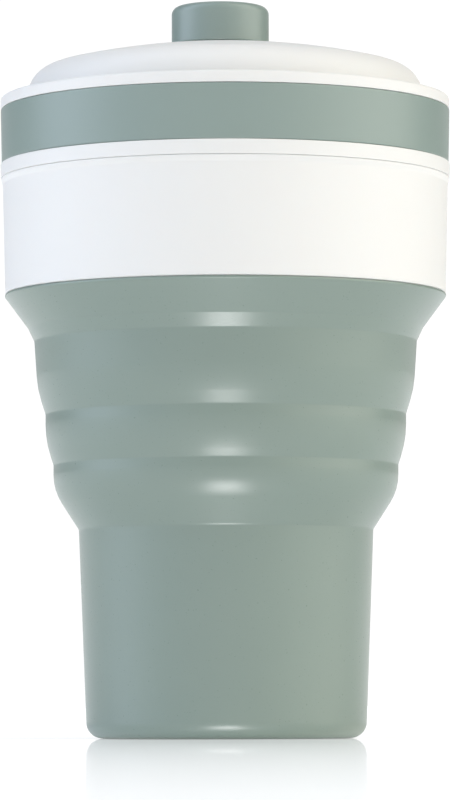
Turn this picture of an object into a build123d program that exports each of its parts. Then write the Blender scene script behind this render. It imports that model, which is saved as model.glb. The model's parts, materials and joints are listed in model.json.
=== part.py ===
from build123d import *
import os

# A folding wash cup that is worked by hand.
#
# A silicone cup with three bellows tiers hangs from a stiff collar. A press-on lid closes the
# collar's neck. A knob above the lid turns a shaft, and the shaft carries a hub with four soft
# paddles. The collar, the lid and the agitator go down over the lower cup as the bellows fold.
#
# Millimetres. The origin is the centre of the foot, on the surface that the cup stands on, and
# +Z is up. Radii are measured from the cup's axis, except those of the shaft line, which are
# measured from the shaft's own axis.

# ---- Driving dimensions: silicone cup
wall = 2.0  # silicone wall, measured level, and the floor
foot_r = 27.2  # lower cup at the foot
foot_fillet = 3.15
foot_ring = 4.6  # width of the ring that the cup stands on, inside the fillet
foot_recess = 0.7  # hollow under the floor
base_h = 40.6  # lower cup, up to the first crease
base_flare = 1.55  # how much wider the lower cup is at the first crease
stiff_h = 39.5  # the lower cup stays stiff up to here
crease_fillet = 0.4

# Each tier: step outwards, height, height of its shoulder, shoulder fillet, lean of its side
tiers = [
    (4.93, 12.6, 7.7, 10.0, 0.0),
    (1.55, 9.9, 4.7, 20.0, 0.0),
    (1.57, 14.3, 4.9, 20.0, 0.62),
]
flare_step = 1.23  # the gentle start of the flare
flare_rise = 2.6
flare_fillet = 0.5
lip_step = 4.52  # the steep end of the flare, out to the lip
lip_rise = 6.1
lip_h = 0.5  # lip, from its widest line up to the collar
lip_round = 0.3

# ---- Driving dimensions: collar, clamp ring and lid
collar_h = 22.6  # collar, from the lip up to the lid
collar_inset = 0.05  # collar below the lip's widest line
collar_draft = 0.48  # how much wider the collar is at its top
collar_wall = 1.6
collar_round = 0.35
collar_lip = 0.3  # thumb lip at the collar's top edge
collar_lip_h = 1.2
shoulder_t = 2.0  # collar's level shoulder under the lid
neck_wall = 1.6
neck_h = 12.4  # neck above the shoulder
neck_inset = 3.95  # neck's outside, inwards from the collar's top edge
bead_t = 1.5  # silicone bead over the neck
bead_round = 0.5
clamp_wall = 1.1
clamp_h = 14.0
lid_overhang = 0.1  # lid flange beyond the collar's thumb lip
lid_wall = 1.8
skirt_h = 15.8  # lid skirt, from its lower edge to the dome's foot
low_flange_t = 2.8
top_flange_t = 2.3
groove_depth = 2.1
band_taper = 0.2  # how much narrower the band is at its lower edge
flange_round = 0.5
band_round = 0.25
dome_inset = 5.2  # dome's wall, inwards from the flange
dome_h = 10.3  # crown above the top flange
dome_crown_drop = 5.3  # how much lower the crown's sphere is at the dome's wall
dome_round = 6.0
gasket_t = 2.2  # gasket, up and down
gasket_depth = 1.0  # gasket groove in the skirt
gasket_rise = 5.0  # gasket above the skirt's lower edge

# ---- Driving dimensions: knob and shaft line
shaft_x = -0.9  # the shaft stands a little off the cup's axis
shaft_r = 2.5
flat_depth = 0.6  # D-shaped ends of the shaft
shaft_chamfer = 0.3
boss_r = 6.6  # boss under the dome
boss_drop = 10.1  # boss, from its flat pad down
pad_rise = 0.05  # boss's flat pad above the crown
bush_wall = 1.5
bush_length = 6.5
bush_flange_r = 5.2
bush_flange_t = 0.9
bush_proud = 0.1  # bush's flange above the boss's pad
seal_section = 1.5
retainer_spigot = 1.7
retainer_flange_t = 0.9
washer_r = 5.0
washer_t = 0.65
clip_r = 4.4
clip_t = 0.6
clip_groove = 0.5  # depth of the clip's groove
clip_mouth = 3.4
clip_lug_w = 1.2
clip_lug_l = 1.1
end_float = 0.1  # end play of the shaft in the bush
knob_r = 9.55
knob_h = 7.7
knob_skin = 1.55
knob_round = 1.6
knob_foot_round = 0.3
knob_rib_z = 1.5  # rib above the knob's lower edge
knob_rib_h = 1.0
knob_rib = 0.4  # rib that holds the skin on the core
knob_socket = 2.9  # how far the shaft goes into the core
screw_r = 1.5  # M3
screw_length = 8.0
head_r = 2.75
head_h = 1.9
cross_w = 0.7
cross_l = 3.2
cross_depth = 1.0
tap_extra = 1.5  # tapped hole beyond the screw's end

# ---- Driving dimensions: agitator
collapse_travel = 60.0  # how far the collar goes down
floor_gap = 2.0  # agitator above the floor when folded
cap_r = 9.0
cap_t = 3.0
hub_r = 7.5
hub_h = 22.0
hub_roof = 2.0  # solid top of the hub above the blade slots
hub_chamfer = 1.2
slot_r = 4.9  # blade's root, from the shaft's axis
root_r = 1.2
web_t = 1.3  # blade where it passes the slot
blade_t = 2.0
blade_gap = 4.5  # blade tip to the lower cup's wall
blade_corner = 5.0
blade_hole_r = 2.6
blade_holes = 2
tip_bead_r = 1.5
paddles = 4

# ---- Clearances
seat_gap = 0.05  # pieces that are seated on each other
head_gap = 0.25  # round a screw's head
fit_gap = 0.05  # running fits
lid_gap = 0.1  # lid's edge above the collar
skirt_gap = 0.2  # lid's skirt round the collar's neck
end_gap = 0.2  # past the ends of shafts and blades

# ---- Levels and radii that follow from them
crease_r = foot_r + base_flare
crease_z = base_h
skin = [(foot_r, 0.0), (crease_r, crease_z)]
skin_fillets = [foot_fillet, crease_fillet]
for step, height, shoulder, fillet_r, lean in tiers:
    skin += [(crease_r + step, crease_z + shoulder), (crease_r + step + lean, crease_z + height)]
    skin_fillets += [fillet_r, crease_fillet]
    crease_r += step + lean
    crease_z += height
flare_r = crease_r + flare_step
flare_z = crease_z + flare_rise
lip_r = flare_r + lip_step
lip_z = flare_z + lip_rise
collar_z = lip_z + lip_h

collar_r = lip_r - collar_inset
collar_top_r = collar_r + collar_draft
collar_top_z = collar_z + collar_h
collar_bore_r = collar_r - collar_wall
neck_r = collar_top_r + collar_lip - neck_inset
neck_bore_r = neck_r - neck_wall
neck_top_z = collar_top_z + neck_h
shoulder_z = collar_top_z - shoulder_t
bead_top_z = neck_top_z + bead_t

sleeve_r = collar_bore_r - seat_gap
sleeve_neck_r = neck_bore_r - seat_gap
sleeve_step_z = shoulder_z - seat_gap
sleeve_foot_z = flare_z + (sleeve_r - flare_r) * lip_rise / lip_step  # flare's inside meets the sleeve's

lid_r = collar_top_r + collar_lip + lid_overhang
skirt_z = collar_top_z + lid_gap
skirt_bore_r = neck_r + skirt_gap
flange_top_z = skirt_z + skirt_h
groove_low_z = skirt_z + low_flange_t
groove_top_z = flange_top_z - top_flange_t
groove_r = lid_r - groove_depth
dome_r = lid_r - dome_inset
gasket_z = skirt_z + gasket_rise
gasket_r = skirt_bore_r + gasket_depth - seat_gap
crown_z = flange_top_z + dome_h
pad_z = crown_z + pad_rise
boss_low_z = pad_z - boss_drop

bush_bore_r = shaft_r + fit_gap
bush_r = bush_bore_r + bush_wall
boss_bore_r = bush_r + seat_gap
retainer_top_z = boss_low_z + retainer_spigot
bush_low_z = pad_z - bush_length
bush_top_z = pad_z + bush_proud
bush_seat_z = bush_top_z - bush_flange_t
washer_top_z = boss_low_z - retainer_flange_t
clip_top_z = washer_top_z - washer_t - end_float
knob_z = bush_top_z + end_float
knob_top_z = knob_z + knob_h
core_r = knob_r - knob_skin
core_top_z = knob_top_z - knob_skin
rib_low_z = knob_z + knob_rib_z
rib_top_z = rib_low_z + knob_rib_h
shaft_top_z = knob_z + knob_socket
knob_screw_z = core_top_z - head_h  # under the screw's head

agitator_z = wall + collapse_travel + floor_gap  # lowest point of the agitator
hub_screw_z = agitator_z + head_h
hub_z = agitator_z + cap_t
hub_top_z = hub_z + hub_h
shaft_low_z = hub_z + end_gap
blade_top_z = hub_top_z - hub_roof
blade_tip_r = foot_r - wall - blade_gap
blade_turns = [45 + 360 / paddles * number for number in range(paddles)]

section = Plane.XZ  # half sections are drawn here and turned round the cup's axis
shaft_section = Plane(origin=(shaft_x, 0, 0), x_dir=(1, 0, 0), z_dir=(0, -1, 0))
shaft_axis = Axis((shaft_x, 0, 0), (0, 0, 1))


def write(piece, label):
    """Name a finished piece and write it."""
    piece.part.label = label
    export_step(piece.part, f"parts/{label}.step")


def corner(sketch, point):
    """The sketch's corner nearest to a point."""
    return sketch.vertices().sort_by_distance(Vector(*point))[0]


def d_section(level, gap):
    """The shaft's D-shaped end, with a gap all round, drawn at a level."""
    with BuildSketch(Plane.XY.offset(level)) as outline:
        with Locations((shaft_x, 0)):
            Circle(shaft_r + gap)
        with Locations((shaft_x, shaft_r - flat_depth + gap)):
            Rectangle(4 * shaft_r, shaft_r, align=(Align.CENTER, Align.MIN), mode=Mode.SUBTRACT)
    return outline.sketch


def screw(label, seat_z, up):
    """A pan-head screw on the shaft line. up is 1 with its head on top, -1 with its head below."""
    with BuildPart() as piece:
        with BuildSketch(shaft_section) as half:
            Polygon(
                (0, seat_z - up * screw_length), (screw_r - seat_gap, seat_z - up * screw_length),
                (screw_r - seat_gap, seat_z), (head_r, seat_z), (head_r, seat_z + up * head_h),
                (0, seat_z + up * head_h),
                align=None,
            )
            fillet(corner(half, (head_r, seat_z + up * head_h)), head_h / 3)
        revolve(axis=shaft_axis)
        with BuildSketch(Plane.XY.offset(seat_z + up * head_h)):
            with Locations((shaft_x, 0)):
                Rectangle(cross_l, cross_w)
                Rectangle(cross_w, cross_l)
        extrude(amount=-up * cross_depth, mode=Mode.SUBTRACT)
    write(piece, label)


os.makedirs("parts", exist_ok=True)

# ---- Silicone cup: one moulding, cut where it starts and where it stops folding
inner = [(r - wall, max(z, wall)) for r, z in skin]
with BuildPart() as moulding:
    with BuildSketch(section):
        with BuildLine():
            outside = FilletPolyline(
                (0, 0), *skin, (flare_r, flare_z), (lip_r, lip_z), (lip_r, collar_z), (sleeve_r, collar_z),
                radius=[*skin_fillets, flare_fillet, lip_round, lip_round],
            )
            inside = FilletPolyline(
                (0, wall), *inner, (flare_r - wall, flare_z), (sleeve_r - wall, sleeve_foot_z),
                (sleeve_r - wall, collar_z),
                radius=[*skin_fillets, flare_fillet, lip_round],
            )
            Line(outside @ 1, inside @ 1)
            Line(outside @ 0, inside @ 0)
        make_face()
    revolve(axis=Axis.Z)
    with BuildSketch(section):
        Polygon(
            (sleeve_r - wall, collar_z), (sleeve_r, collar_z), (sleeve_r, sleeve_step_z),
            (sleeve_neck_r, sleeve_step_z), (sleeve_neck_r, neck_top_z), (neck_r, neck_top_z),
            (neck_r, bead_top_z), (sleeve_neck_r - wall, bead_top_z),
            (sleeve_neck_r - wall, sleeve_step_z - wall), (sleeve_r - wall, sleeve_step_z - wall),
            align=None,
        )
    revolve(axis=Axis.Z)
    with BuildSketch():
        Circle(foot_r - foot_fillet - foot_ring)
    extrude(amount=foot_recess, mode=Mode.SUBTRACT)

with BuildPart() as cup_base:
    add(moulding.part)
    split(bisect_by=Plane.XY.offset(stiff_h), keep=Keep.BOTTOM)
write(cup_base, "cup_base")

with BuildPart() as cup_bellows:
    add(moulding.part)
    split(bisect_by=Plane.XY.offset(stiff_h), keep=Keep.TOP)
    split(bisect_by=Plane.XY.offset(collar_z), keep=Keep.BOTTOM)
write(cup_bellows, "cup_bellows")

with BuildPart() as cup_rim:
    add(moulding.part)
    split(bisect_by=Plane.XY.offset(collar_z), keep=Keep.TOP)
    fillet(cup_rim.edges().group_by(Axis.Z)[-1], bead_round)
write(cup_rim, "cup_rim")

# ---- Collar, and the ring that clamps the silicone sleeve inside its neck
with BuildPart() as collar:
    with BuildSketch(section) as half:
        Polygon(
            (collar_bore_r, collar_z), (collar_r, collar_z), (collar_top_r, collar_top_z - collar_lip_h),
            (collar_top_r + collar_lip, collar_top_z - collar_lip), (collar_top_r + collar_lip, collar_top_z),
            (neck_r, collar_top_z), (neck_r, neck_top_z), (neck_bore_r, neck_top_z),
            (neck_bore_r, shoulder_z), (collar_bore_r, shoulder_z),
            align=None,
        )
        fillet(corner(half, (collar_r, collar_z)), collar_round)
    revolve(axis=Axis.Z)
write(collar, "collar")

clamp_r = sleeve_neck_r - wall - seat_gap
clamp_low_z = neck_top_z - clamp_h
with BuildPart() as clamp_ring:
    with BuildSketch(section) as half:
        Polygon(
            (clamp_r - clamp_wall, clamp_low_z), (clamp_r, clamp_low_z),
            (clamp_r, neck_top_z), (clamp_r - clamp_wall, neck_top_z),
            align=None,
        )
        chamfer(corner(half, (clamp_r - clamp_wall, neck_top_z)), clamp_wall / 2)
    revolve(axis=Axis.Z)
write(clamp_ring, "clamp_ring")

# ---- Lid: skirt with a groove for the grip band, low dome, boss for the shaft
dome_in_r = dome_r - lid_wall
dome_edge_z = crown_z - dome_crown_drop
with BuildPart() as lid_shell:
    with BuildSketch(section) as half:
        with BuildLine():
            TangentArc((0, crown_z), (dome_r, dome_edge_z), tangent=(1, 0))
            Polyline(
                (dome_r, dome_edge_z), (dome_r, flange_top_z), (lid_r, flange_top_z), (lid_r, groove_top_z),
                (groove_r, groove_top_z), (groove_r, groove_low_z), (lid_r, groove_low_z), (lid_r, skirt_z),
                (skirt_bore_r, skirt_z), (skirt_bore_r, bead_top_z), (dome_in_r, bead_top_z),
                (dome_in_r, dome_edge_z - lid_wall),
            )
            TangentArc((0, crown_z - lid_wall), (dome_in_r, dome_edge_z - lid_wall), tangent=(1, 0))
            Line((0, crown_z - lid_wall), (0, crown_z))
        make_face()
        fillet(corner(half, (dome_r, dome_edge_z)), dome_round)
        fillet(corner(half, (dome_in_r, dome_edge_z - lid_wall)), dome_round - lid_wall)
        fillet(corner(half, (lid_r, flange_top_z)), flange_round)
    revolve(axis=Axis.Z)
    with BuildSketch(Plane.XY.offset(boss_low_z)):
        with Locations((shaft_x, 0)):
            Circle(boss_r)
    extrude(amount=boss_drop)
    with Locations((shaft_x, 0, pad_z)):
        CounterBoreHole(boss_bore_r, bush_flange_r + seat_gap, bush_flange_t - bush_proud)
    with BuildSketch(section):
        with Locations((skirt_bore_r, gasket_z)):
            Rectangle(gasket_depth * 2, gasket_t, align=(Align.CENTER, Align.MIN))
    revolve(axis=Axis.Z, mode=Mode.SUBTRACT)
write(lid_shell, "lid_shell")

with BuildPart() as grip_band:
    with BuildSketch(section) as half:
        Polygon(
            (groove_r + seat_gap, groove_low_z + seat_gap), (lid_r - band_taper, groove_low_z + seat_gap),
            (lid_r, groove_top_z - seat_gap), (groove_r + seat_gap, groove_top_z - seat_gap),
            align=None,
        )
        fillet(half.vertices().group_by(Axis.X)[-2:], band_round)
    revolve(axis=Axis.Z)
write(grip_band, "grip_band")

with BuildPart() as lid_gasket:
    with BuildSketch(section) as half:
        Polygon(
            (neck_r + fit_gap, gasket_z + seat_gap), (gasket_r, gasket_z + seat_gap),
            (gasket_r, gasket_z + gasket_t - seat_gap), (neck_r + fit_gap, gasket_z + gasket_t - seat_gap),
            align=None,
        )
        fillet(half.vertices().group_by(Axis.X)[0], gasket_t / 5)
    revolve(axis=Axis.Z)
write(lid_gasket, "lid_gasket")

# ---- Shaft line in the lid: bush, O-ring, the cap that holds the O-ring up, thrust washer
with BuildPart() as shaft_bush:
    with BuildSketch(shaft_section) as half:
        Polygon(
            (bush_bore_r, bush_low_z), (bush_r, bush_low_z), (bush_r, bush_seat_z), (bush_flange_r, bush_seat_z),
            (bush_flange_r, bush_top_z), (bush_bore_r, bush_top_z),
            align=None,
        )
        fillet(corner(half, (bush_flange_r, bush_top_z)), bush_flange_t / 3)
    revolve(axis=shaft_axis)
write(shaft_bush, "shaft_bush")

with BuildPart() as shaft_seal:
    with BuildSketch(shaft_section):
        with Locations((bush_bore_r + seal_section / 2, (bush_low_z + retainer_top_z) / 2)):
            Circle(seal_section / 2)
    revolve(axis=shaft_axis)
write(shaft_seal, "shaft_seal")

with BuildPart() as seal_retainer:
    with BuildSketch(shaft_section) as half:
        Polygon(
            (bush_bore_r, washer_top_z), (boss_r, washer_top_z), (boss_r, boss_low_z), (bush_r, boss_low_z),
            (bush_r, retainer_top_z), (bush_bore_r, retainer_top_z),
            align=None,
        )
        fillet(corner(half, (boss_r, washer_top_z)), retainer_flange_t / 3)
    revolve(axis=shaft_axis)
write(seal_retainer, "seal_retainer")

with BuildPart() as thrust_washer:
    with BuildSketch(Plane.XY.offset(washer_top_z - washer_t)):
        with Locations((shaft_x, 0)):
            Circle(washer_r)
            Circle(bush_bore_r, mode=Mode.SUBTRACT)
    extrude(amount=washer_t)
write(thrust_washer, "thrust_washer")

# ---- Shaft, with D-shaped ends, a clip groove and a tapped hole at each end
clip_low_z = clip_top_z - clip_t
groove_shaft_r = shaft_r - clip_groove
tap_depth = screw_length + tap_extra
with BuildPart() as agitator_shaft:
    with BuildSketch(shaft_section) as half:
        Polygon(
            (0, hub_screw_z + tap_depth), (screw_r, hub_screw_z + tap_depth), (screw_r, shaft_low_z),
            (shaft_r, shaft_low_z), (shaft_r, clip_low_z - seat_gap), (groove_shaft_r, clip_low_z - seat_gap),
            (groove_shaft_r, clip_top_z + seat_gap), (shaft_r, clip_top_z + seat_gap), (shaft_r, shaft_top_z),
            (screw_r, shaft_top_z), (screw_r, knob_screw_z - tap_depth), (0, knob_screw_z - tap_depth),
            align=None,
        )
        chamfer([corner(half, (shaft_r, shaft_low_z)), corner(half, (shaft_r, shaft_top_z))], shaft_chamfer)
    revolve(axis=shaft_axis)
    for low_z, high_z in ((shaft_low_z, hub_top_z), (knob_z, shaft_top_z)):
        with BuildSketch(Plane.XY.offset(low_z)):
            with Locations((shaft_x, shaft_r - flat_depth)):
                Rectangle(4 * shaft_r, shaft_r, align=(Align.CENTER, Align.MIN))
        extrude(amount=high_z - low_z, mode=Mode.SUBTRACT)
write(agitator_shaft, "agitator_shaft")

with BuildPart() as retaining_clip:
    with BuildSketch(Plane.XY.offset(clip_low_z)):
        with Locations((shaft_x, 0)):
            Circle(clip_r)
            Circle(shaft_r + clip_groove / 2, mode=Mode.SUBTRACT)
            with PolarLocations(shaft_r, 3, start_angle=180, angular_range=180, endpoint=True):
                Rectangle(clip_lug_l, clip_lug_w)
            Circle(groove_shaft_r + seat_gap, mode=Mode.SUBTRACT)
            Rectangle(clip_mouth, clip_r, align=(Align.CENTER, Align.MIN), mode=Mode.SUBTRACT)
    extrude(amount=clip_t)
write(retaining_clip, "retaining_clip")

# ---- Knob: a silicone skin over a stiff core
with BuildPart() as knob_core:
    with BuildSketch(shaft_section) as half:
        Polygon(
            (0, knob_z), (core_r, knob_z), (core_r, rib_low_z - seat_gap),
            (core_r - knob_rib, rib_low_z - seat_gap), (core_r - knob_rib, rib_top_z + seat_gap),
            (core_r, rib_top_z + seat_gap), (core_r, core_top_z), (head_r + head_gap, core_top_z),
            (head_r + head_gap, knob_screw_z), (screw_r, knob_screw_z), (screw_r, shaft_top_z), (0, shaft_top_z),
            align=None,
        )
        fillet(corner(half, (core_r, core_top_z)), knob_round / 3)
    revolve(axis=shaft_axis)
    extrude(d_section(knob_z, seat_gap), amount=knob_socket + end_gap, mode=Mode.SUBTRACT)
write(knob_core, "knob_core")

skin_in_r = core_r + seat_gap
with BuildPart() as knob_cover:
    with BuildSketch(shaft_section) as half:
        Polygon(
            (0, core_top_z + seat_gap), (skin_in_r, core_top_z + seat_gap), (skin_in_r, rib_top_z),
            (skin_in_r - knob_rib, rib_top_z), (skin_in_r - knob_rib, rib_low_z), (skin_in_r, rib_low_z),
            (skin_in_r, knob_z), (knob_r, knob_z), (knob_r, knob_top_z), (0, knob_top_z),
            align=None,
        )
        fillet(corner(half, (knob_r, knob_top_z)), knob_round)
        fillet(corner(half, (knob_r, knob_z)), knob_foot_round)
    revolve(axis=shaft_axis)
write(knob_cover, "knob_cover")
screw("knob_screw", knob_screw_z, 1)

# ---- Agitator: hub on the shaft, four soft blades in its slots, and a cap that closes the slots
with BuildPart() as agitator_hub:
    with BuildSketch(Plane.XY.offset(hub_z)):
        with Locations((shaft_x, 0)):
            Circle(hub_r)
    extrude(amount=hub_h)
    chamfer(agitator_hub.edges().group_by(Axis.Z)[-1], hub_chamfer)
    extrude(d_section(hub_z, seat_gap), amount=hub_h, mode=Mode.SUBTRACT)
    with BuildSketch(Plane.XY.offset(hub_z)):
        for turn in blade_turns:
            with Locations(Location((shaft_x, 0, 0), (0, 0, turn))):
                with Locations((slot_r, 0)):
                    Circle(root_r + seat_gap)
                    Rectangle(hub_r, web_t + 2 * seat_gap, align=(Align.MIN, Align.CENTER))
    extrude(amount=blade_top_z - hub_z, mode=Mode.SUBTRACT)
write(agitator_hub, "agitator_hub")

blade_z = hub_z + seat_gap
blade_h = blade_top_z - seat_gap - blade_z
with BuildPart() as blade:
    with BuildSketch(Plane.XY.offset(blade_z)):
        with Locations((slot_r, 0)):
            Circle(root_r)
            Rectangle(blade_tip_r - tip_bead_r - slot_r, web_t, align=(Align.MIN, Align.CENTER))
        with Locations((hub_r + end_gap, 0)):
            Rectangle(blade_tip_r - tip_bead_r - hub_r - end_gap, blade_t, align=(Align.MIN, Align.CENTER))
        with Locations((blade_tip_r - tip_bead_r, 0)):
            Circle(tip_bead_r)
    extrude(amount=blade_h)
    with BuildSketch(section) as side:
        with Locations((0, blade_z)):
            Rectangle(blade_tip_r, blade_h, align=(Align.MIN, Align.MIN))
        fillet(side.vertices().group_by(Axis.X)[-1], blade_corner)
        with Locations(((hub_r + blade_tip_r) / 2, blade_z + blade_h / 2)):
            with GridLocations(1, blade_h / blade_holes, 1, blade_holes):
                Circle(blade_hole_r, mode=Mode.SUBTRACT)
    extrude(amount=blade_t * 2, both=True, mode=Mode.INTERSECT)

for number, turn in enumerate(blade_turns, start=1):
    with BuildPart() as agitator_paddle:
        with Locations(Location((shaft_x, 0, 0), (0, 0, turn))):
            add(blade.part)
    write(agitator_paddle, f"agitator_paddle_{number}")

with BuildPart() as hub_cap:
    with BuildSketch(shaft_section) as half:
        Polygon(
            (screw_r + seat_gap, hub_z), (cap_r, hub_z), (cap_r, agitator_z), (head_r + head_gap, agitator_z),
            (head_r + head_gap, hub_screw_z), (screw_r + seat_gap, hub_screw_z),
            align=None,
        )
        fillet(corner(half, (cap_r, agitator_z)), cap_t / 3)
    revolve(axis=shaft_axis)
write(hub_cap, "hub_cap")
screw("hub_screw", hub_screw_z, -1)
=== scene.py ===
"""Looks for a hand-turned folding wash cup, built round its CAD frame.

A grey-green silicone cup with three folding tiers hangs from a white collar. A white lid with a
grip band closes it, and a round knob on the lid turns an agitator inside. Sizes are in
millimetres until a mesh is made. Levels come from the frame, and what the frame can't say, such
as a wall or a rounding, is a field of the sub-assembly's class.
"""
import json
import logging
import math
from dataclasses import dataclass
from enum import Enum
from typing import Iterable, Sequence

import bpy
from mathutils import Matrix, Vector


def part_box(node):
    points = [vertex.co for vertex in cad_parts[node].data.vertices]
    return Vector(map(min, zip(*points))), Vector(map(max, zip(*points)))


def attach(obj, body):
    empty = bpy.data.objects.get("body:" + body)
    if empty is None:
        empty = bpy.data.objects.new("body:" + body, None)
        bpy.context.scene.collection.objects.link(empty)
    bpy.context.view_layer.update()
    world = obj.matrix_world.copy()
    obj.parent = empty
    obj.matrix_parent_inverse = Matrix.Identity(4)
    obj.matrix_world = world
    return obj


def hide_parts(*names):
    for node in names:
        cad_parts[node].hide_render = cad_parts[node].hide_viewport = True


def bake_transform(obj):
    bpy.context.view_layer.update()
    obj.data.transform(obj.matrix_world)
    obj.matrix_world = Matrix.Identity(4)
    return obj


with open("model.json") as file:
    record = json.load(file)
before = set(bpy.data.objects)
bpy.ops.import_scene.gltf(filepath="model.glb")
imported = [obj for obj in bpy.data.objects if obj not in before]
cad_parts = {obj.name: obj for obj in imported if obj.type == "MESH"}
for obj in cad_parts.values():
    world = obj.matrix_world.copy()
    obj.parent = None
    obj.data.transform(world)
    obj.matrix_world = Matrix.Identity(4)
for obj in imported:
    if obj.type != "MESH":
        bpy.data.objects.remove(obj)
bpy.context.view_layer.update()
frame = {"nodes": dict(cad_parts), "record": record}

log = logging.getLogger("wash_cup")

MM = 0.001
SPIN_STEPS = 144
SMALL_SPIN_STEPS = 72
ARC_STEP = 9.0  # degrees of turn per span of a rounded corner
LONGEST_SPAN = 1.6  # millimetres between points on a straight stretch
HOLDING_SPAN = 0.2  # a straight stretch keeps a point this near to each rounded end
MERGE = 1e-6  # metres
NO_LENGTH = 1e-9  # a side shorter than this, in millimetres, has no direction
STRAIGHT = math.radians(0.5)  # a corner that turns by less than this isn't rounded

# Roundings of moulded edges, in millimetres.
FINE_ROUND = 0.1
CRISP_ROUND = 0.15
EASED_ROUND = 0.2
SOFT_ROUND = 0.3

SCATTER = (1.0, 0.8, 0.7)  # red light spreads furthest inside a moulding
NOISE_SPREAD = (0.25, 0.75)  # where nearly all of a noise texture's values lie

Corner = tuple[float, float, float]
Point = tuple[float, float]


class Slot(Enum):
    """The record's material slots."""

    SAGE_SILICONE = "sage_silicone"
    WHITE_POLYPROPYLENE = "white_polypropylene"
    NATURAL_POLYPROPYLENE = "natural_polypropylene"
    CLEAR_SILICONE = "clear_silicone"
    BLACK_RUBBER = "black_rubber"
    ACETAL = "acetal"
    STAINLESS_STEEL = "stainless_steel"


class Body(Enum):
    """The frame's moving bodies."""

    BASE = "base"
    COLLAR = "collar"
    LID = "lid"
    AGITATOR = "agitator"


# ---------------------------------------------------------------------------------------------
# Reading the frame
# ---------------------------------------------------------------------------------------------


@dataclass(frozen=True)
class Extent:
    """A node's box at rest, in millimetres."""

    low: Vector
    high: Vector

    @classmethod
    def of(cls, node: str) -> "Extent":
        """The box of a CAD node."""
        low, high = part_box(node)
        return cls(Vector(low) / MM, Vector(high) / MM)

    @property
    def radius(self) -> float:
        """Half the box's depth, which is the radius of a round piece."""
        return (self.high.y - self.low.y) / 2

    @property
    def centre_x(self) -> float:
        """The X of the box's middle."""
        return (self.high.x + self.low.x) / 2


# ---------------------------------------------------------------------------------------------
# Modelling helpers
# ---------------------------------------------------------------------------------------------


def deselect() -> None:
    """Leave object mode with nothing selected."""
    if bpy.context.mode != "OBJECT":
        bpy.ops.object.mode_set(mode="OBJECT")
    bpy.ops.object.select_all(action="DESELECT")


def activate(piece: bpy.types.Object) -> None:
    """Make a piece the only selected and the active object."""
    deselect()
    piece.select_set(True)
    bpy.context.view_layer.objects.active = piece


def rounded(corners: Sequence[Corner], closed: bool = True) -> list[Point]:
    """Turn an outline with rounded corners into the points of a mesh.

    Args:
        corners: radius, height and rounding of each corner, in order.
        closed: whether the last corner joins the first.

    Returns:
        Points along the outline, close together on arcs and at most LONGEST_SPAN apart.
    """
    count = len(corners)
    joins: list[list[Vector]] = []
    for index, (radius, height, rounding) in enumerate(corners):
        here = Vector((radius, height))
        ends = not closed and index in (0, count - 1)
        before = Vector(corners[index - 1][:2]) - here
        after = Vector(corners[(index + 1) % count][:2]) - here
        if ends or rounding <= 0 or min(before.length, after.length) < NO_LENGTH:
            joins.append([here])
            continue
        before.normalize()
        after.normalize()
        turn = math.pi - before.angle(after)
        if turn < STRAIGHT:
            joins.append([here])
            continue
        reach = rounding * math.tan(turn / 2)
        middle = here + (before + after).normalized() * (rounding / math.cos(turn / 2))
        steps = max(2, math.ceil(math.degrees(turn) / ARC_STEP))
        first, last = here + before * reach - middle, here + after * reach - middle
        side = 1 if first.x * last.y > first.y * last.x else -1
        joins.append([
            middle + Matrix.Rotation(side * turn * step / steps, 2) @ first
            for step in range(steps + 1)
        ])
    points: list[Vector] = []
    for index, join in enumerate(joins):
        points += join
        if index == count - 1 and not closed:
            break
        start, end = join[-1], joins[(index + 1) % count][0]
        span = (end - start).length
        if span < 2.5 * HOLDING_SPAN:
            continue
        parts = max(1, math.ceil((span - 2 * HOLDING_SPAN) / LONGEST_SPAN))
        inset = HOLDING_SPAN / span
        stops = [inset + (1 - 2 * inset) * part / parts for part in range(parts + 1)]
        points += [start.lerp(end, stop) for stop in stops]
    return [(point.x, point.y) for point in points]


def finish_mesh(piece: bpy.types.Object, sharp: float = 35.0) -> bpy.types.Object:
    """Merge doubles, point faces outwards and smooth all but the sharp edges.

    Args:
        piece: a mesh object.
        sharp: edges that turn by more than this many degrees stay sharp.

    Returns:
        The same object.
    """
    activate(piece)
    bpy.ops.object.mode_set(mode="EDIT")
    bpy.ops.mesh.select_all(action="SELECT")
    bpy.ops.mesh.remove_doubles(threshold=MERGE)
    bpy.ops.mesh.normals_make_consistent(inside=False)
    bpy.ops.object.mode_set(mode="OBJECT")
    bpy.ops.object.shade_smooth_by_angle(angle=math.radians(sharp))
    return piece


def turned(name: str, corners: Sequence[Corner], closed: bool = True, centre_x: float = 0.0,
           steps: int = SPIN_STEPS) -> bpy.types.Object:
    """Turn an outline round an upright axis.

    Args:
        name: the piece's name.
        corners: radius, height and rounding of each corner, in millimetres.
        closed: whether the outline is a ring that doesn't reach the axis.
        centre_x: where the axis crosses X, in millimetres.
        steps: faces round the piece.

    Returns:
        The turned piece, with smooth shading.
    """
    points = rounded(corners, closed)
    if closed:
        points.append(points[0])
    deselect()
    bpy.ops.mesh.primitive_plane_add(size=MM)
    piece = bpy.context.object
    piece.name = piece.data.name = name
    bpy.ops.object.mode_set(mode="EDIT")
    bpy.ops.mesh.select_all(action="SELECT")
    bpy.ops.mesh.merge(type="CENTER")
    start = Vector((centre_x + points[0][0], 0, points[0][1])) * MM
    bpy.ops.transform.translate(value=start)
    for (radius, height), (next_radius, next_height) in zip(points, points[1:]):
        step = Vector((next_radius - radius, 0, next_height - height)) * MM
        bpy.ops.mesh.extrude_region_move(TRANSFORM_OT_translate={"value": step})
    bpy.ops.mesh.select_all(action="SELECT")
    bpy.ops.mesh.spin(steps=steps, angle=math.tau, center=(centre_x * MM, 0, 0), axis=(0, 0, 1))
    return finish_mesh(piece)


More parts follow.
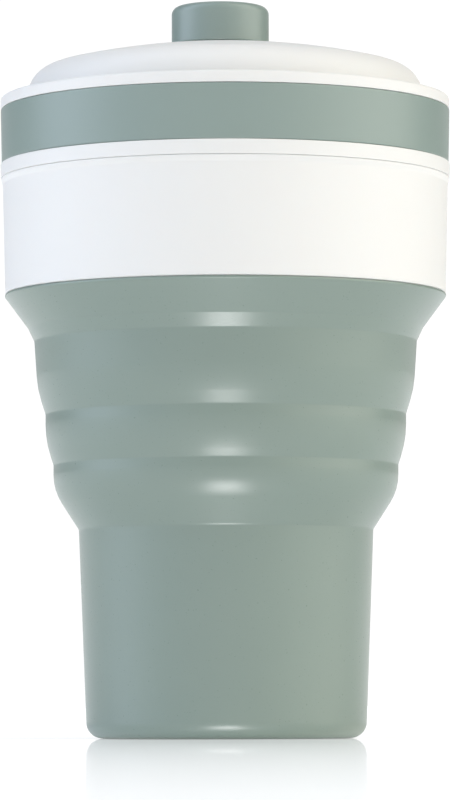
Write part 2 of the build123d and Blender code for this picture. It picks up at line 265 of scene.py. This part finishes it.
def settle(piece: bpy.types.Object, body: Body,
           nodes: Iterable[str]) -> bpy.types.Object:
    """Put a finished piece on its body, in place of CAD nodes.

    Args:
        piece: the finished mesh.
        body: the body that it moves with.
        nodes: the CAD nodes that it stands for.

    Returns:
        The same object.
    """
    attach(piece, body.value)
    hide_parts(*nodes)
    log.info("%s: %d faces, rides on %s", piece.name, len(piece.data.polygons), body.value)
    return piece


def dress(piece: bpy.types.Object, material: bpy.types.Material) -> None:
    """Give a piece one material."""
    piece.data.materials.clear()
    piece.data.materials.append(material)


# ---------------------------------------------------------------------------------------------
# Finishes
# ---------------------------------------------------------------------------------------------


def linear(colour: str) -> tuple[float, float, float, float]:
    """Turn an sRGB hex colour into linear RGBA."""
    channels = [int(colour[start:start + 2], 16) / 255 for start in (1, 3, 5)]
    curve = [c / 12.92 if c <= 0.04045 else ((c + 0.055) / 1.055) ** 2.4 for c in channels]
    return (*curve, 1.0)


def per_metre(size_mm: float) -> float:
    """The texture scale at which one feature is so many millimetres wide."""
    return 1 / (size_mm * MM)


def add_node(tree: bpy.types.NodeTree, kind: str, settings: dict | None = None,
             inputs: dict | None = None) -> bpy.types.Node:
    """Add a node with its settings, values and links.

    Args:
        tree: the node tree.
        kind: the node's type name.
        settings: properties of the node.
        inputs: socket name or number to a value, or to another node's output socket.

    Returns:
        The new node.
    """
    node = tree.nodes.new(kind)
    for name, value in (settings or {}).items():
        setattr(node, name, value)
    for name, value in (inputs or {}).items():
        if isinstance(value, bpy.types.NodeSocket):
            tree.links.new(value, node.inputs[name])
        else:
            node.inputs[name].default_value = value
    return node


@dataclass(frozen=True)
class MouldedFinish:
    """A moulded or machined surface: two close shades, a fine grain and an uneven gloss."""

    name: str
    shade: str
    second_shade: str
    blotch_mm: float  # width of the slow colour change
    roughness: float
    roughness_swing: float
    grain_mm: float
    grain_depth_mm: float
    ior: float = 1.49
    metallic: float = 0.0
    subsurface: float = 0.0
    subsurface_mm: float = 1.0
    specular: float = 0.5

    def build(self) -> bpy.types.Material:
        """Make the material.

        Returns:
            A node material on Object coordinates.
        """
        material = bpy.data.materials.new(self.name)
        material.use_nodes = True
        tree = material.node_tree
        shader = tree.nodes["Principled BSDF"]
        shader.inputs["IOR"].default_value = self.ior
        shader.inputs["Metallic"].default_value = self.metallic
        shader.inputs["Subsurface Weight"].default_value = self.subsurface
        shader.inputs["Subsurface Radius"].default_value = SCATTER
        shader.inputs["Subsurface Scale"].default_value = self.subsurface_mm * MM
        shader.inputs["Specular IOR Level"].default_value = self.specular
        place = add_node(tree, "ShaderNodeTexCoord")
        blotch = add_node(tree, "ShaderNodeTexNoise", inputs={
            "Vector": place.outputs["Object"], "Scale": per_metre(self.blotch_mm), "Detail": 3.0,
            "Roughness": 0.55,
        })
        colour = add_node(tree, "ShaderNodeMix", {"data_type": "RGBA"}, {
            "Factor": blotch.outputs["Fac"],
            "A": linear(self.shade), "B": linear(self.second_shade),
        })
        tree.links.new(colour.outputs["Result"], shader.inputs["Base Color"])
        grain = add_node(tree, "ShaderNodeTexNoise", inputs={
            "Vector": place.outputs["Object"], "Scale": per_metre(self.grain_mm), "Detail": 2.0,
        })
        gloss = add_node(tree, "ShaderNodeMapRange", inputs={
            "Value": grain.outputs["Fac"],
            "From Min": NOISE_SPREAD[0], "From Max": NOISE_SPREAD[1],
            "To Min": self.roughness - self.roughness_swing,
            "To Max": self.roughness + self.roughness_swing,
        })
        tree.links.new(gloss.outputs["Result"], shader.inputs["Roughness"])
        bump = add_node(tree, "ShaderNodeBump", inputs={
            "Strength": 1.0, "Distance": self.grain_depth_mm * MM,
            "Height": grain.outputs["Fac"],
        })
        tree.links.new(bump.outputs["Normal"], shader.inputs["Normal"])
        return material


class Finishes:
    """The finishes of the whole cup, one material each."""

    def __init__(self) -> None:
        """Build every finish."""
        # Injection-moulded silicone from a satin mould: soft, with blurred glints and faint bloom.
        self.sage = MouldedFinish(
            "Moulded_silicone_sage", "#7C8D85", "#819188", blotch_mm=28, roughness=0.3,
            roughness_swing=0.03, grain_mm=0.35, grain_depth_mm=0.004, ior=1.66, subsurface=0.12,
            subsurface_mm=1.5,
        ).build()
        # The same silicone with painted light: a lighter, cooler copy of the sage finish for the
        # band and the knob, as if more light fell on them.
        self.sage_painted_lighter = MouldedFinish(
            "Moulded_silicone_sage_trim", "#84958F", "#889993", blotch_mm=28, roughness=0.33,
            roughness_swing=0.03, grain_mm=0.35, grain_depth_mm=0.004, ior=1.66, subsurface=0.12,
            subsurface_mm=1.5,
        ).build()
        # Injection-moulded white polypropylene: satin, from a spark-textured mould, and slightly
        # translucent.
        self.white = MouldedFinish(
            "Moulded_polypropylene_white", "#E8E8E6", "#E6E6E4", blotch_mm=40, roughness=0.38,
            roughness_swing=0.04, grain_mm=0.5, grain_depth_mm=0.003, ior=1.49, subsurface=0.15,
            subsurface_mm=1.2, specular=0.22,
        ).build()
        # Unpigmented polypropylene: milky and a little yellow where it is thick.
        self.natural = MouldedFinish(
            "Moulded_polypropylene_natural", "#DCDDD6", "#D3D5CE", blotch_mm=12, roughness=0.4,
            roughness_swing=0.05, grain_mm=0.4, grain_depth_mm=0.004, subsurface=0.4,
            subsurface_mm=2.0,
        ).build()
        # Unpigmented silicone: cloudy and soft, so light spreads far inside it.
        self.clear = MouldedFinish(
            "Moulded_silicone_clear", "#CFD6D4", "#C5CECB", blotch_mm=9, roughness=0.42,
            roughness_swing=0.05, grain_mm=0.3, grain_depth_mm=0.004, ior=1.41, subsurface=0.5,
            subsurface_mm=3.0,
        ).build()
        # Nitrile rubber: dark, dull and slightly mottled.
        self.rubber = MouldedFinish(
            "Moulded_nitrile_rubber", "#1B1B1C", "#242425", blotch_mm=3, roughness=0.62,
            roughness_swing=0.06, grain_mm=0.2, grain_depth_mm=0.005, ior=1.52,
        ).build()
        # Turned acetal: dense off-white with a waxy gloss.
        self.acetal = MouldedFinish(
            "Turned_acetal", "#EDEBE2", "#E6E4DA", blotch_mm=6, roughness=0.3,
            roughness_swing=0.05, grain_mm=0.25, grain_depth_mm=0.003, ior=1.48, subsurface=0.1,
            subsurface_mm=0.8,
        ).build()
        # Turned stainless steel: bright, with fine tool marks that only soften its gloss.
        self.steel = MouldedFinish(
            "Turned_stainless_steel", "#C7C6C3", "#BDBCB9", blotch_mm=5, roughness=0.24,
            roughness_swing=0.07, grain_mm=0.12, grain_depth_mm=0.002, metallic=1.0, ior=1.5,
        ).build()


# ---------------------------------------------------------------------------------------------
# Sub-assemblies
# ---------------------------------------------------------------------------------------------


@dataclass(frozen=True)
class Tier:
    """One folding tier: how far it steps out, and how its side rounds over."""

    step: float
    height: float
    shoulder: float  # height of the shoulder above the crease below
    shoulder_round: float
    lean: float = 0.0  # how much the side above the shoulder still widens


@dataclass
class SiliconeCup:
    """The silicone moulding: lower cup, folding tiers, flare, and the sleeve inside the collar."""

    wall: float = 2.0
    foot_r: float = 27.2
    foot_round: float = 3.15
    foot_ring: float = 4.6
    foot_recess: float = 0.7
    recess_draft: float = 0.4
    base_h: float = 40.6
    base_flare: float = 1.55
    crease_round: float = 0.9
    tiers: tuple[Tier, ...] = (
        Tier(4.93, 12.6, 7.7, 10.0),
        Tier(1.55, 9.9, 4.7, 20.0),
        Tier(1.57, 14.3, 4.9, 20.0, lean=0.62),
    )
    flare_step: float = 1.23
    flare_rise: float = 2.6
    flare_round: float = 0.5
    lip_step: float = 4.52
    lip_rise: float = 6.1
    lip_round: float = 0.25
    bead_t: float = 1.5
    bead_round: float = 0.5
    sleeve_in_round: float = 0.8

    def skin(self) -> list[Corner]:
        """The outside, from the foot up to the last crease.

        Returns:
            Corners with their roundings.
        """
        radius, height = self.foot_r + self.base_flare, self.base_h
        corners = [(self.foot_r, 0.0, self.foot_round), (radius, height, self.crease_round)]
        for tier in self.tiers:
            corners.append((radius + tier.step, height + tier.shoulder, tier.shoulder_round))
            radius += tier.step + tier.lean
            height += tier.height
            corners.append((radius, height, self.crease_round))
        return corners

    def outline(self) -> list[Corner]:
        """The whole section: up the outside, over the bead and down the inside.

        Returns:
            Corners of a section that starts and ends on the axis.
        """
        sleeve, collar = Extent.of("cup_rim"), Extent.of("collar")
        skin = self.skin()
        last_r, last_z, _ = skin[-1]
        flare_r, flare_z = last_r + self.flare_step, last_z + self.flare_rise
        lip_r, lip_z = flare_r + self.lip_step, flare_z + self.lip_rise
        joint_z, bead_z = collar.low.z, sleeve.high.z
        sleeve_r = sleeve.radius
        sleeve_foot_z = flare_z + (sleeve_r - flare_r) * self.lip_rise / self.lip_step
        step_z = SLEEVE.step_z
        neck_r = SLEEVE.neck_r
        bead_r = SLEEVE.bead_r
        recess_r = self.foot_r - self.foot_round - self.foot_ring
        seat_z = joint_z - SLEEVE.seat_gap
        outside = [
            (0, self.foot_recess, 0), (recess_r, self.foot_recess, SOFT_ROUND),
            (recess_r + self.recess_draft, 0, EASED_ROUND),
            *skin, (flare_r, flare_z, self.flare_round), (lip_r, lip_z, self.lip_round),
            (lip_r, seat_z, self.lip_round), (sleeve_r, seat_z, CRISP_ROUND),
            (sleeve_r, step_z, SOFT_ROUND), (neck_r, step_z, SOFT_ROUND),
            (neck_r, bead_z - self.bead_t, CRISP_ROUND),
            (bead_r, bead_z - self.bead_t, CRISP_ROUND), (bead_r, bead_z, self.bead_round),
        ]
        inside = [
            (neck_r - self.wall, bead_z, self.bead_round),
            (neck_r - self.wall, step_z - self.wall, self.sleeve_in_round),
            (sleeve_r - self.wall, step_z - self.wall, self.sleeve_in_round),
            (sleeve_r - self.wall, sleeve_foot_z, self.sleeve_in_round),
            (flare_r - self.wall, flare_z, self.flare_round),
        ]
        inside += [(r - self.wall, max(z, self.wall), bend) for r, z, bend in reversed(skin)]
        return [*outside, *inside, (0, self.wall, 0)]

    def build(self, finishes: Finishes) -> None:
        """Make the moulding as one piece.

        Args:
            finishes: the finishes to dress it with.
        """
        cup = turned("silicone_cup", self.outline(), closed=False)
        dress(cup, finishes.sage)
        folds = Extent.of("cup_bellows")
        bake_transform(cup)
        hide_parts("cup_base", "cup_bellows", "cup_rim")
        log.info("%s: %d faces, bends between collar and base", cup.name, len(cup.data.polygons))


@dataclass(frozen=True)
class Sleeve:
    """Where the silicone sleeve runs inside the collar, worked out from the collar's box."""

    neck_inset: float = 3.95
    neck_wall: float = 1.6
    neck_h: float = 12.4
    shoulder_t: float = 2.0
    seat_gap: float = 0.05

    @property
    def bead_r(self) -> float:
        """The collar neck's outside, and the silicone bead's."""
        return Extent.of("collar").radius - self.neck_inset

    @property
    def neck_r(self) -> float:
        """The sleeve's outside within the neck."""
        return self.bead_r - self.neck_wall - self.seat_gap

    @property
    def collar_top_z(self) -> float:
        """The collar's shoulder, where the lid's skirt ends."""
        return Extent.of("collar").high.z - self.neck_h

    @property
    def step_z(self) -> float:
        """The level step of the sleeve, under the collar's shoulder."""
        return self.collar_top_z - self.shoulder_t - self.seat_gap


SLEEVE = Sleeve()


@dataclass
class Collar:
    """The white ring that the silicone hangs from, and the neck that the lid grips."""

    wall: float = 1.6
    draft: float = 0.48
    thumb_lip: float = 0.3
    thumb_lip_h: float = 1.2
    low_round: float = 0.35
    lip_fade_round: float = 0.8  # where the side runs out into the thumb lip
    land_round: float = 0.08
    top_land: float = 0.05  # how far the top stands above the frame's collar, towards the lid

    def build(self, finishes: Finishes) -> None:
        """Make the collar.

        Args:
            finishes: the finishes to dress it with.
        """
        box = Extent.of("collar")
        top_r = box.radius - self.thumb_lip
        low_r = top_r - self.draft
        top_z, shoulder_z = SLEEVE.collar_top_z, SLEEVE.collar_top_z - SLEEVE.shoulder_t
        land_z = top_z + self.top_land
        neck_r, neck_in_r = SLEEVE.bead_r, SLEEVE.bead_r - SLEEVE.neck_wall
        collar = turned("collar_ring", [
            (low_r - self.wall, box.low.z, EASED_ROUND), (low_r, box.low.z, self.low_round),
            (top_r, top_z - self.thumb_lip_h, self.lip_fade_round),
            (box.radius, top_z - self.thumb_lip, CRISP_ROUND),
            (box.radius, land_z, self.land_round), (neck_r, land_z, SOFT_ROUND),
            (neck_r, box.high.z, SOFT_ROUND), (neck_in_r, box.high.z, SOFT_ROUND),
            (neck_in_r, shoulder_z, SOFT_ROUND), (low_r - self.wall, shoulder_z, SOFT_ROUND),
        ])
        dress(collar, finishes.white)
        settle(collar, Body.COLLAR, ["collar"])


@dataclass
class Lid:
    """The press-on lid: skirt, two flanges, grip band and low dome."""

    wall: float = 1.8
    low_flange_t: float = 2.8
    top_flange_t: float = 2.3
    groove_depth: float = 2.1
    skirt_h: float = 15.8
    skirt_gap: float = 0.2
    gasket_rise: float = 5.0
    gasket_h: float = 2.2
    gasket_depth: float = 1.0
    flange_round: float = 0.5
    skirt_edge_round: float = 0.12
    skirt_mouth_round: float = 0.4
    dome_inset: float = 5.2
    dome_drop: float = 5.3
    dome_round: float = 6.0
    dome_foot_round: float = 0.25
    crown_rise: float = 10.3
    crown_points: int = 14
    hole_r: float = 6.2
    boss_r: float = 6.6
    boss_bore_r: float = 4.1
    counterbore_r: float = 5.25
    counterbore_depth: float = 0.8
    bush_proud: float = 0.1
    retainer_spigot: float = 1.7
    band_gap: float = 0.05
    band_draft: float = 0.2
    band_round: float = 0.25

    def crown(self, wall_r: float, edge_z: float, top_z: float) -> list[Corner]:
        """Points on the dome's shallow crown, from the shaft's hole to its edge.

        Args:
            wall_r: radius of the dome's wall.
            edge_z: where the crown would meet the wall.
            top_z: the crown's highest point.

        Returns:
            Corners without rounding.
        """
        drop = top_z - edge_z
        sphere = (wall_r ** 2 + drop ** 2) / (2 * drop)
        span = wall_r - self.hole_r
        parts = range(self.crown_points)
        radii = [self.hole_r + span * part / self.crown_points for part in parts]
        return [(r, top_z - sphere + math.sqrt(sphere ** 2 - r ** 2), 0) for r in radii]

    def build(self, finishes: Finishes) -> None:
        """Make the lid's shell, the boss that the shaft runs in, and the grip band.

        Args:
            finishes: the finishes to dress them with.
        """
        box, band_box = Extent.of("lid_shell"), Extent.of("grip_band")
        bush_box = Extent.of("shaft_bush")
        gasket_z = box.low.z + self.gasket_rise
        gasket_top_z = gasket_z + self.gasket_h
        gasket_r = SLEEVE.bead_r + self.skirt_gap + self.gasket_depth
        edge_r, skirt_z = box.radius, box.low.z
        flange_top_z = skirt_z + self.skirt_h
        groove_low_z = skirt_z + self.low_flange_t
        groove_top_z = flange_top_z - self.top_flange_t
        groove_r, dome_r = edge_r - self.groove_depth, edge_r - self.dome_inset
        skirt_r = SLEEVE.bead_r + self.skirt_gap
        ceiling_z = Extent.of("cup_rim").high.z
        crown_z = flange_top_z + self.crown_rise
        edge_z = crown_z - self.dome_drop
        outer = self.crown(dome_r, edge_z, crown_z)
        inner = self.crown(dome_r - self.wall, edge_z - self.wall, crown_z - self.wall)
        shell = turned("lid_shell_moulding", [
            *outer[:-1], (dome_r, edge_z, self.dome_round),
            (dome_r, flange_top_z, self.dome_foot_round),
            (edge_r, flange_top_z, self.flange_round), (edge_r, groove_top_z, CRISP_ROUND),
            (groove_r, groove_top_z, CRISP_ROUND), (groove_r, groove_low_z, CRISP_ROUND),
            (edge_r, groove_low_z, CRISP_ROUND), (edge_r, skirt_z, self.skirt_edge_round),
            (skirt_r, skirt_z, self.skirt_mouth_round), (skirt_r, gasket_z, CRISP_ROUND),
            (gasket_r, gasket_z, CRISP_ROUND), (gasket_r, gasket_top_z, CRISP_ROUND),
            (skirt_r, gasket_top_z, CRISP_ROUND),
            (skirt_r, ceiling_z, SOFT_ROUND), (dome_r - self.wall, ceiling_z, SOFT_ROUND),
            (dome_r - self.wall, edge_z - self.wall, self.dome_round - self.wall),
            *reversed(inner[:-1]),
        ])
        self.centre_hole(shell, bush_box.centre_x)
        dress(shell, finishes.white)
        settle(shell, Body.LID, ["lid_shell"])

        pad_z = bush_box.high.z - self.bush_proud
        boss_low_z = Extent.of("seal_retainer").high.z - self.retainer_spigot
        seat_z = pad_z - self.counterbore_depth
        boss = turned("lid_shaft_boss", [
            (self.boss_bore_r, boss_low_z, EASED_ROUND), (self.boss_r, boss_low_z, SOFT_ROUND),
            (self.boss_r, pad_z, CRISP_ROUND), (self.counterbore_r, pad_z, CRISP_ROUND),
            (self.counterbore_r, seat_z, FINE_ROUND), (self.boss_bore_r, seat_z, CRISP_ROUND),
        ], centre_x=bush_box.centre_x, steps=SMALL_SPIN_STEPS)
        dress(boss, finishes.white)
        settle(boss, Body.LID, ["lid_shell"])

        band_r = groove_r + self.band_gap
        band = turned("grip_band_ring", [
            (band_r, band_box.low.z, FINE_ROUND),
            (edge_r - self.band_draft, band_box.low.z, self.band_round),
            (edge_r, band_box.high.z, self.band_round), (band_r, band_box.high.z, FINE_ROUND),
        ])
        # The band takes the copy of the sage silicone with painted light, lighter and cooler.
        dress(band, finishes.sage_painted_lighter)
        settle(band, Body.LID, ["grip_band"])

    def centre_hole(self, shell: bpy.types.Object, shaft_x: float) -> None:
        """Move the shell's hole over to the shaft's axis.

        Args:
            shell: the lid's shell.
            shaft_x: where the shaft crosses X, in millimetres.
        """
        activate(shell)
        bpy.ops.object.mode_set(mode="EDIT")
        bpy.ops.mesh.select_all(action="DESELECT")
        bpy.ops.object.mode_set(mode="OBJECT")
        reach = (self.hole_r + HOLDING_SPAN) * MM
        for vertex in shell.data.vertices:
            vertex.select = math.hypot(vertex.co.x, vertex.co.y) < reach
        bpy.ops.object.mode_set(mode="EDIT")
        bpy.ops.transform.translate(value=(shaft_x * MM, 0, 0))
        bpy.ops.object.mode_set(mode="OBJECT")


@dataclass
class Knob:
    """The knob's silicone skin."""

    rib: float = 0.4
    rib_rise: float = 1.5
    rib_h: float = 1.0
    skin: float = 1.5
    top_round: float = 1.6
    foot_round: float = 0.3

    def build(self, finishes: Finishes) -> None:
        """Make the knob's skin.

        Args:
            finishes: the finishes to dress it with.
        """
        box = Extent.of("knob_cover")
        inner_r, inner_z = box.radius - self.skin, box.high.z - self.skin
        rib_z = box.low.z + self.rib_rise
        cover = turned("knob_skin", [
            (0, box.high.z, 0), (box.radius, box.high.z, self.top_round),
            (box.radius, box.low.z, self.foot_round), (inner_r, box.low.z, EASED_ROUND),
            (inner_r, rib_z, FINE_ROUND), (inner_r - self.rib, rib_z, FINE_ROUND),
            (inner_r - self.rib, rib_z + self.rib_h, FINE_ROUND),
            (inner_r, rib_z + self.rib_h, FINE_ROUND), (inner_r, inner_z, SOFT_ROUND),
            (0, inner_z, 0),
        ], closed=False, centre_x=box.centre_x)
        # The knob takes the copy of the sage silicone with painted light, lighter and cooler.
        dress(cover, finishes.sage_painted_lighter)
        settle(cover, Body.AGITATOR, ["knob_cover"])


class Fittings:
    """The CAD pieces that stay as they are and only take a finish."""

    def build(self, finishes: Finishes) -> None:
        """Dress each carried-over node by its slot.

        Args:
            finishes: the finishes to choose from.
        """
        by_slot = {
            Slot.SAGE_SILICONE: finishes.sage, Slot.WHITE_POLYPROPYLENE: finishes.white,
            Slot.NATURAL_POLYPROPYLENE: finishes.natural, Slot.CLEAR_SILICONE: finishes.clear,
            Slot.BLACK_RUBBER: finishes.rubber, Slot.ACETAL: finishes.acetal,
            Slot.STAINLESS_STEEL: finishes.steel,
        }
        for subpart in frame["record"]["subparts"]:
            node = frame["nodes"][subpart["node"]]
            if not node.hide_render:
                dress(node, by_slot[Slot(subpart["material_slot"])])
                log.info("%s keeps its CAD shape", subpart["node"])


# ---------------------------------------------------------------------------------------------
# Stage
# ---------------------------------------------------------------------------------------------


@dataclass
class Studio:
    """Floor, surround, lights and camera."""

    camera_distance: float = 904.0
    camera_height: float = 7.5
    camera_x: float = -0.30
    tilt: float = 3.70  # degrees upwards
    roll: float = 0.145  # degrees
    lens: float = 208.4
    sensor: float = 36.0
    floor_size: float = 8000.0
    floor_middle: tuple[float, float, float] = (-900.0, 200.0, -0.05)
    floor_shade: str = "#F8F8F8"
    floor_roughness: float = 0.6
    floor_glow: float = 0.3  # light of its own, so that it stays white under the tent
    gloss_near: float = 0.65  # how much of a mirror the floor is at the cup
    gloss_reach: tuple[float, float] = (90.0, 845.0)  # where that starts and ends its fade
    gloss_roughness: float = 0.02
    gloss_grazing: float = 8.0  # how fast the mirror fades away from a grazing view
    backdrop: float = 1.05  # how bright the tent is to the camera, against plain white
    backdrop_rise: float = 0.04  # up to this height of a direction, every ray sees it
    brightest: float = 4.0  # the strength of the tent where its colour is full
    zenith: float = 0.92  # how bright the tent is overhead, against its walls
    zenith_from: float = 0.35  # the height of a direction at which that starts
    glint_below: float = 42.0  # degrees below level, seen from the cup
    glint_distance: float = 600.0
    glint_aim: tuple[float, float] = (35.0, 60.0)  # in front of the axis, and above the floor
    glint_width: float = 200.0
    glint_length: float = 240.0
    glint_watts: float = 1.3
    cool: str = "#DEE9FD"
    warm: str = "#FFFBF0"
    plain: str = "#FFFFFF"

    @property
    def walls(self) -> tuple[tuple[float, float, str], ...]:
        """The tent's walls: degrees round from the camera, brightness and tint."""
        cool, warm, plain = self.cool, self.warm, self.plain
        return (
            (-180, 0.6, plain), (-158, 0.5, plain), (-138, 0.1, plain), (-116, 0.15, plain),
            (-104, 2.0, cool), (-85, 3.0, cool), (-68, 1.9, cool), (-52, 0.85, cool),
            (-25, 0.75, plain), (0, 0.62, plain), (22, 0.8, plain),
            (42, 1.25, warm), (62, 2.15, warm), (85, 2.5, warm), (104, 1.8, warm),
            (116, 0.15, plain), (138, 0.1, plain), (158, 0.5, plain), (180, 0.6, plain),
        )

    def build(self) -> None:
        """Set the stage."""
        scene = bpy.context.scene
        scene.view_settings.view_transform = "Standard"
        self.surround(scene)
        self.floor()
        self.glint()
        self.camera(scene)

    def surround(self, scene: bpy.types.Scene) -> None:
        """Put up a light tent: bright panels at the sides, and plain white to the camera.

        Args:
            scene: the scene that takes the world.
        """
        world = bpy.data.worlds.new("Light_tent")
        world.use_nodes = True
        scene.world = world
        tree = world.node_tree
        place = add_node(tree, "ShaderNodeTexCoord")
        axes = add_node(tree, "ShaderNodeSeparateXYZ", inputs={
            "Vector": place.outputs["Generated"],
        })
        toward = add_node(tree, "ShaderNodeMath", {"operation": "MULTIPLY"}, {
            0: axes.outputs["Y"], 1: -1.0,
        })
        round_by = add_node(tree, "ShaderNodeMath", {"operation": "ARCTAN2"}, {
            0: axes.outputs["X"], 1: toward.outputs[0],
        })
        along = add_node(tree, "ShaderNodeMapRange", inputs={
            "Value": round_by.outputs[0], "From Min": -math.pi, "From Max": math.pi,
        })
        panels = add_node(tree, "ShaderNodeValToRGB", inputs={"Fac": along.outputs["Result"]})
        ramp = panels.color_ramp
        ramp.interpolation = "EASE"
        while len(ramp.elements) < len(self.walls):
            ramp.elements.new(0.5)
        for element, (degrees, brightness, tint) in zip(ramp.elements, self.walls):
            element.position = degrees / 360 + 0.5
            lit = [channel * brightness / self.brightest for channel in linear(tint)[:3]]
            element.color = (*lit, 1.0)
        height = add_node(tree, "ShaderNodeMapRange", {"interpolation_type": "SMOOTHSTEP"}, {
            "Value": axes.outputs["Z"], "From Min": self.zenith_from, "From Max": 1.0,
            "To Min": self.brightest, "To Max": self.brightest * self.zenith,
        })
        tent = add_node(tree, "ShaderNodeBackground", inputs={
            "Color": panels.outputs["Color"], "Strength": height.outputs["Result"],
        })
        plain = add_node(tree, "ShaderNodeBackground", inputs={
            "Color": (1, 1, 1, 1), "Strength": self.backdrop,
        })
        path = add_node(tree, "ShaderNodeLightPath")
        low = add_node(tree, "ShaderNodeMath", {"operation": "LESS_THAN"}, {
            0: axes.outputs["Z"], 1: self.backdrop_rise,
        })
        seen = add_node(tree, "ShaderNodeMath", {"operation": "MAXIMUM"}, {
            0: path.outputs["Is Camera Ray"], 1: low.outputs[0],
        })
        mix = add_node(tree, "ShaderNodeMixShader", inputs={
            0: seen.outputs[0], 1: tent.outputs[0], 2: plain.outputs[0],
        })
        tree.links.new(mix.outputs[0], tree.nodes["World Output"].inputs["Surface"])

    def floor(self) -> None:
        """Lay a white floor that mirrors a little near the cup."""
        deselect()
        # Off centre, so that no edge of the mesh runs past the cup.
        bpy.ops.mesh.primitive_grid_add(
            x_subdivisions=3, y_subdivisions=3, size=self.floor_size * MM,
            location=Vector(self.floor_middle) * MM,
        )
        bpy.ops.object.transform_apply(location=True, rotation=False, scale=False)
        floor = bpy.context.object
        floor.name = "studio_floor"
        material = bpy.data.materials.new("Satin_acrylic_floor")
        material.use_nodes = True
        tree = material.node_tree
        shader = tree.nodes["Principled BSDF"]
        shader.inputs["Base Color"].default_value = linear(self.floor_shade)
        shader.inputs["Roughness"].default_value = self.floor_roughness
        shader.inputs["Specular IOR Level"].default_value = 0.0
        shader.inputs["Emission Color"].default_value = (1, 1, 1, 1)
        shader.inputs["Emission Strength"].default_value = self.floor_glow
        mirror = add_node(tree, "ShaderNodeBsdfGlossy", inputs={
            "Color": (1, 1, 1, 1), "Roughness": self.gloss_roughness,
        })
        place = add_node(tree, "ShaderNodeTexCoord")
        reach = add_node(tree, "ShaderNodeVectorMath", {"operation": "LENGTH"}, {
            0: place.outputs["Object"],
        })
        fade = add_node(tree, "ShaderNodeMapRange", inputs={
            "Value": reach.outputs["Value"], "From Min": self.gloss_reach[0] * MM,
            "From Max": self.gloss_reach[1] * MM, "To Min": self.gloss_near, "To Max": 0.0,
        })
        facing = add_node(tree, "ShaderNodeLayerWeight", inputs={"Blend": 0.5})
        grazing = add_node(tree, "ShaderNodeMath", {"operation": "POWER"}, {
            0: facing.outputs["Facing"], 1: self.gloss_grazing,
        })
        amount = add_node(tree, "ShaderNodeMath", {"operation": "MULTIPLY"}, {
            0: grazing.outputs[0], 1: fade.outputs["Result"],
        })
        mix = add_node(tree, "ShaderNodeMixShader", inputs={
            0: amount.outputs[0], 1: shader.outputs[0], 2: mirror.outputs[0],
        })
        tree.links.new(mix.outputs[0], tree.nodes["Material Output"].inputs["Surface"])
        dress(floor, material)

    def glint(self) -> None:
        """Add the lamp below the floor, which nothing blocks and only gloss on the cup shows."""
        data = bpy.data.lights.new("low_front_lamp", "AREA")
        data.shape = "RECTANGLE"
        data.size, data.size_y = self.glint_width * MM, self.glint_length * MM
        data.energy = self.glint_watts
        data.use_shadow = False
        data.cycles.use_multiple_importance_sampling = False
        lamp = bpy.data.objects.new("low_front_lamp", data)
        bpy.context.scene.collection.objects.link(lamp)
        lamp.visible_camera = lamp.visible_diffuse = lamp.visible_transmission = False
        below = math.radians(self.glint_below)
        lamp.location = Vector((
            0, -self.glint_aim[0] - self.glint_distance * math.cos(below),
            self.glint_aim[1] - self.glint_distance * math.sin(below),
        )) * MM
        lamp.rotation_euler = (math.radians(90 + self.glint_below), 0, 0)

    def camera(self, scene: bpy.types.Scene) -> None:
        """Place the camera low in front of the cup, looking slightly up.

        Args:
            scene: the scene that takes the camera.
        """
        data = bpy.data.cameras.new("camera")
        data.lens = self.lens
        data.sensor_width = self.sensor
        camera = bpy.data.objects.new("camera", data)
        scene.collection.objects.link(camera)
        camera.location = Vector((self.camera_x, -self.camera_distance, self.camera_height)) * MM
        camera.rotation_euler = (math.radians(90 + self.tilt), math.radians(self.roll), 0)
        scene.camera = camera


def main() -> None:
    """Build the cup, then the stage."""
    logging.basicConfig(level=logging.INFO, format="%(name)s: %(message)s")
    finishes = Finishes()
    for assembly in (SiliconeCup(), Collar(), Lid(), Knob(), Fittings()):
        assembly.build(finishes)
    Studio().build()


if __name__ == "__main__":
    main()
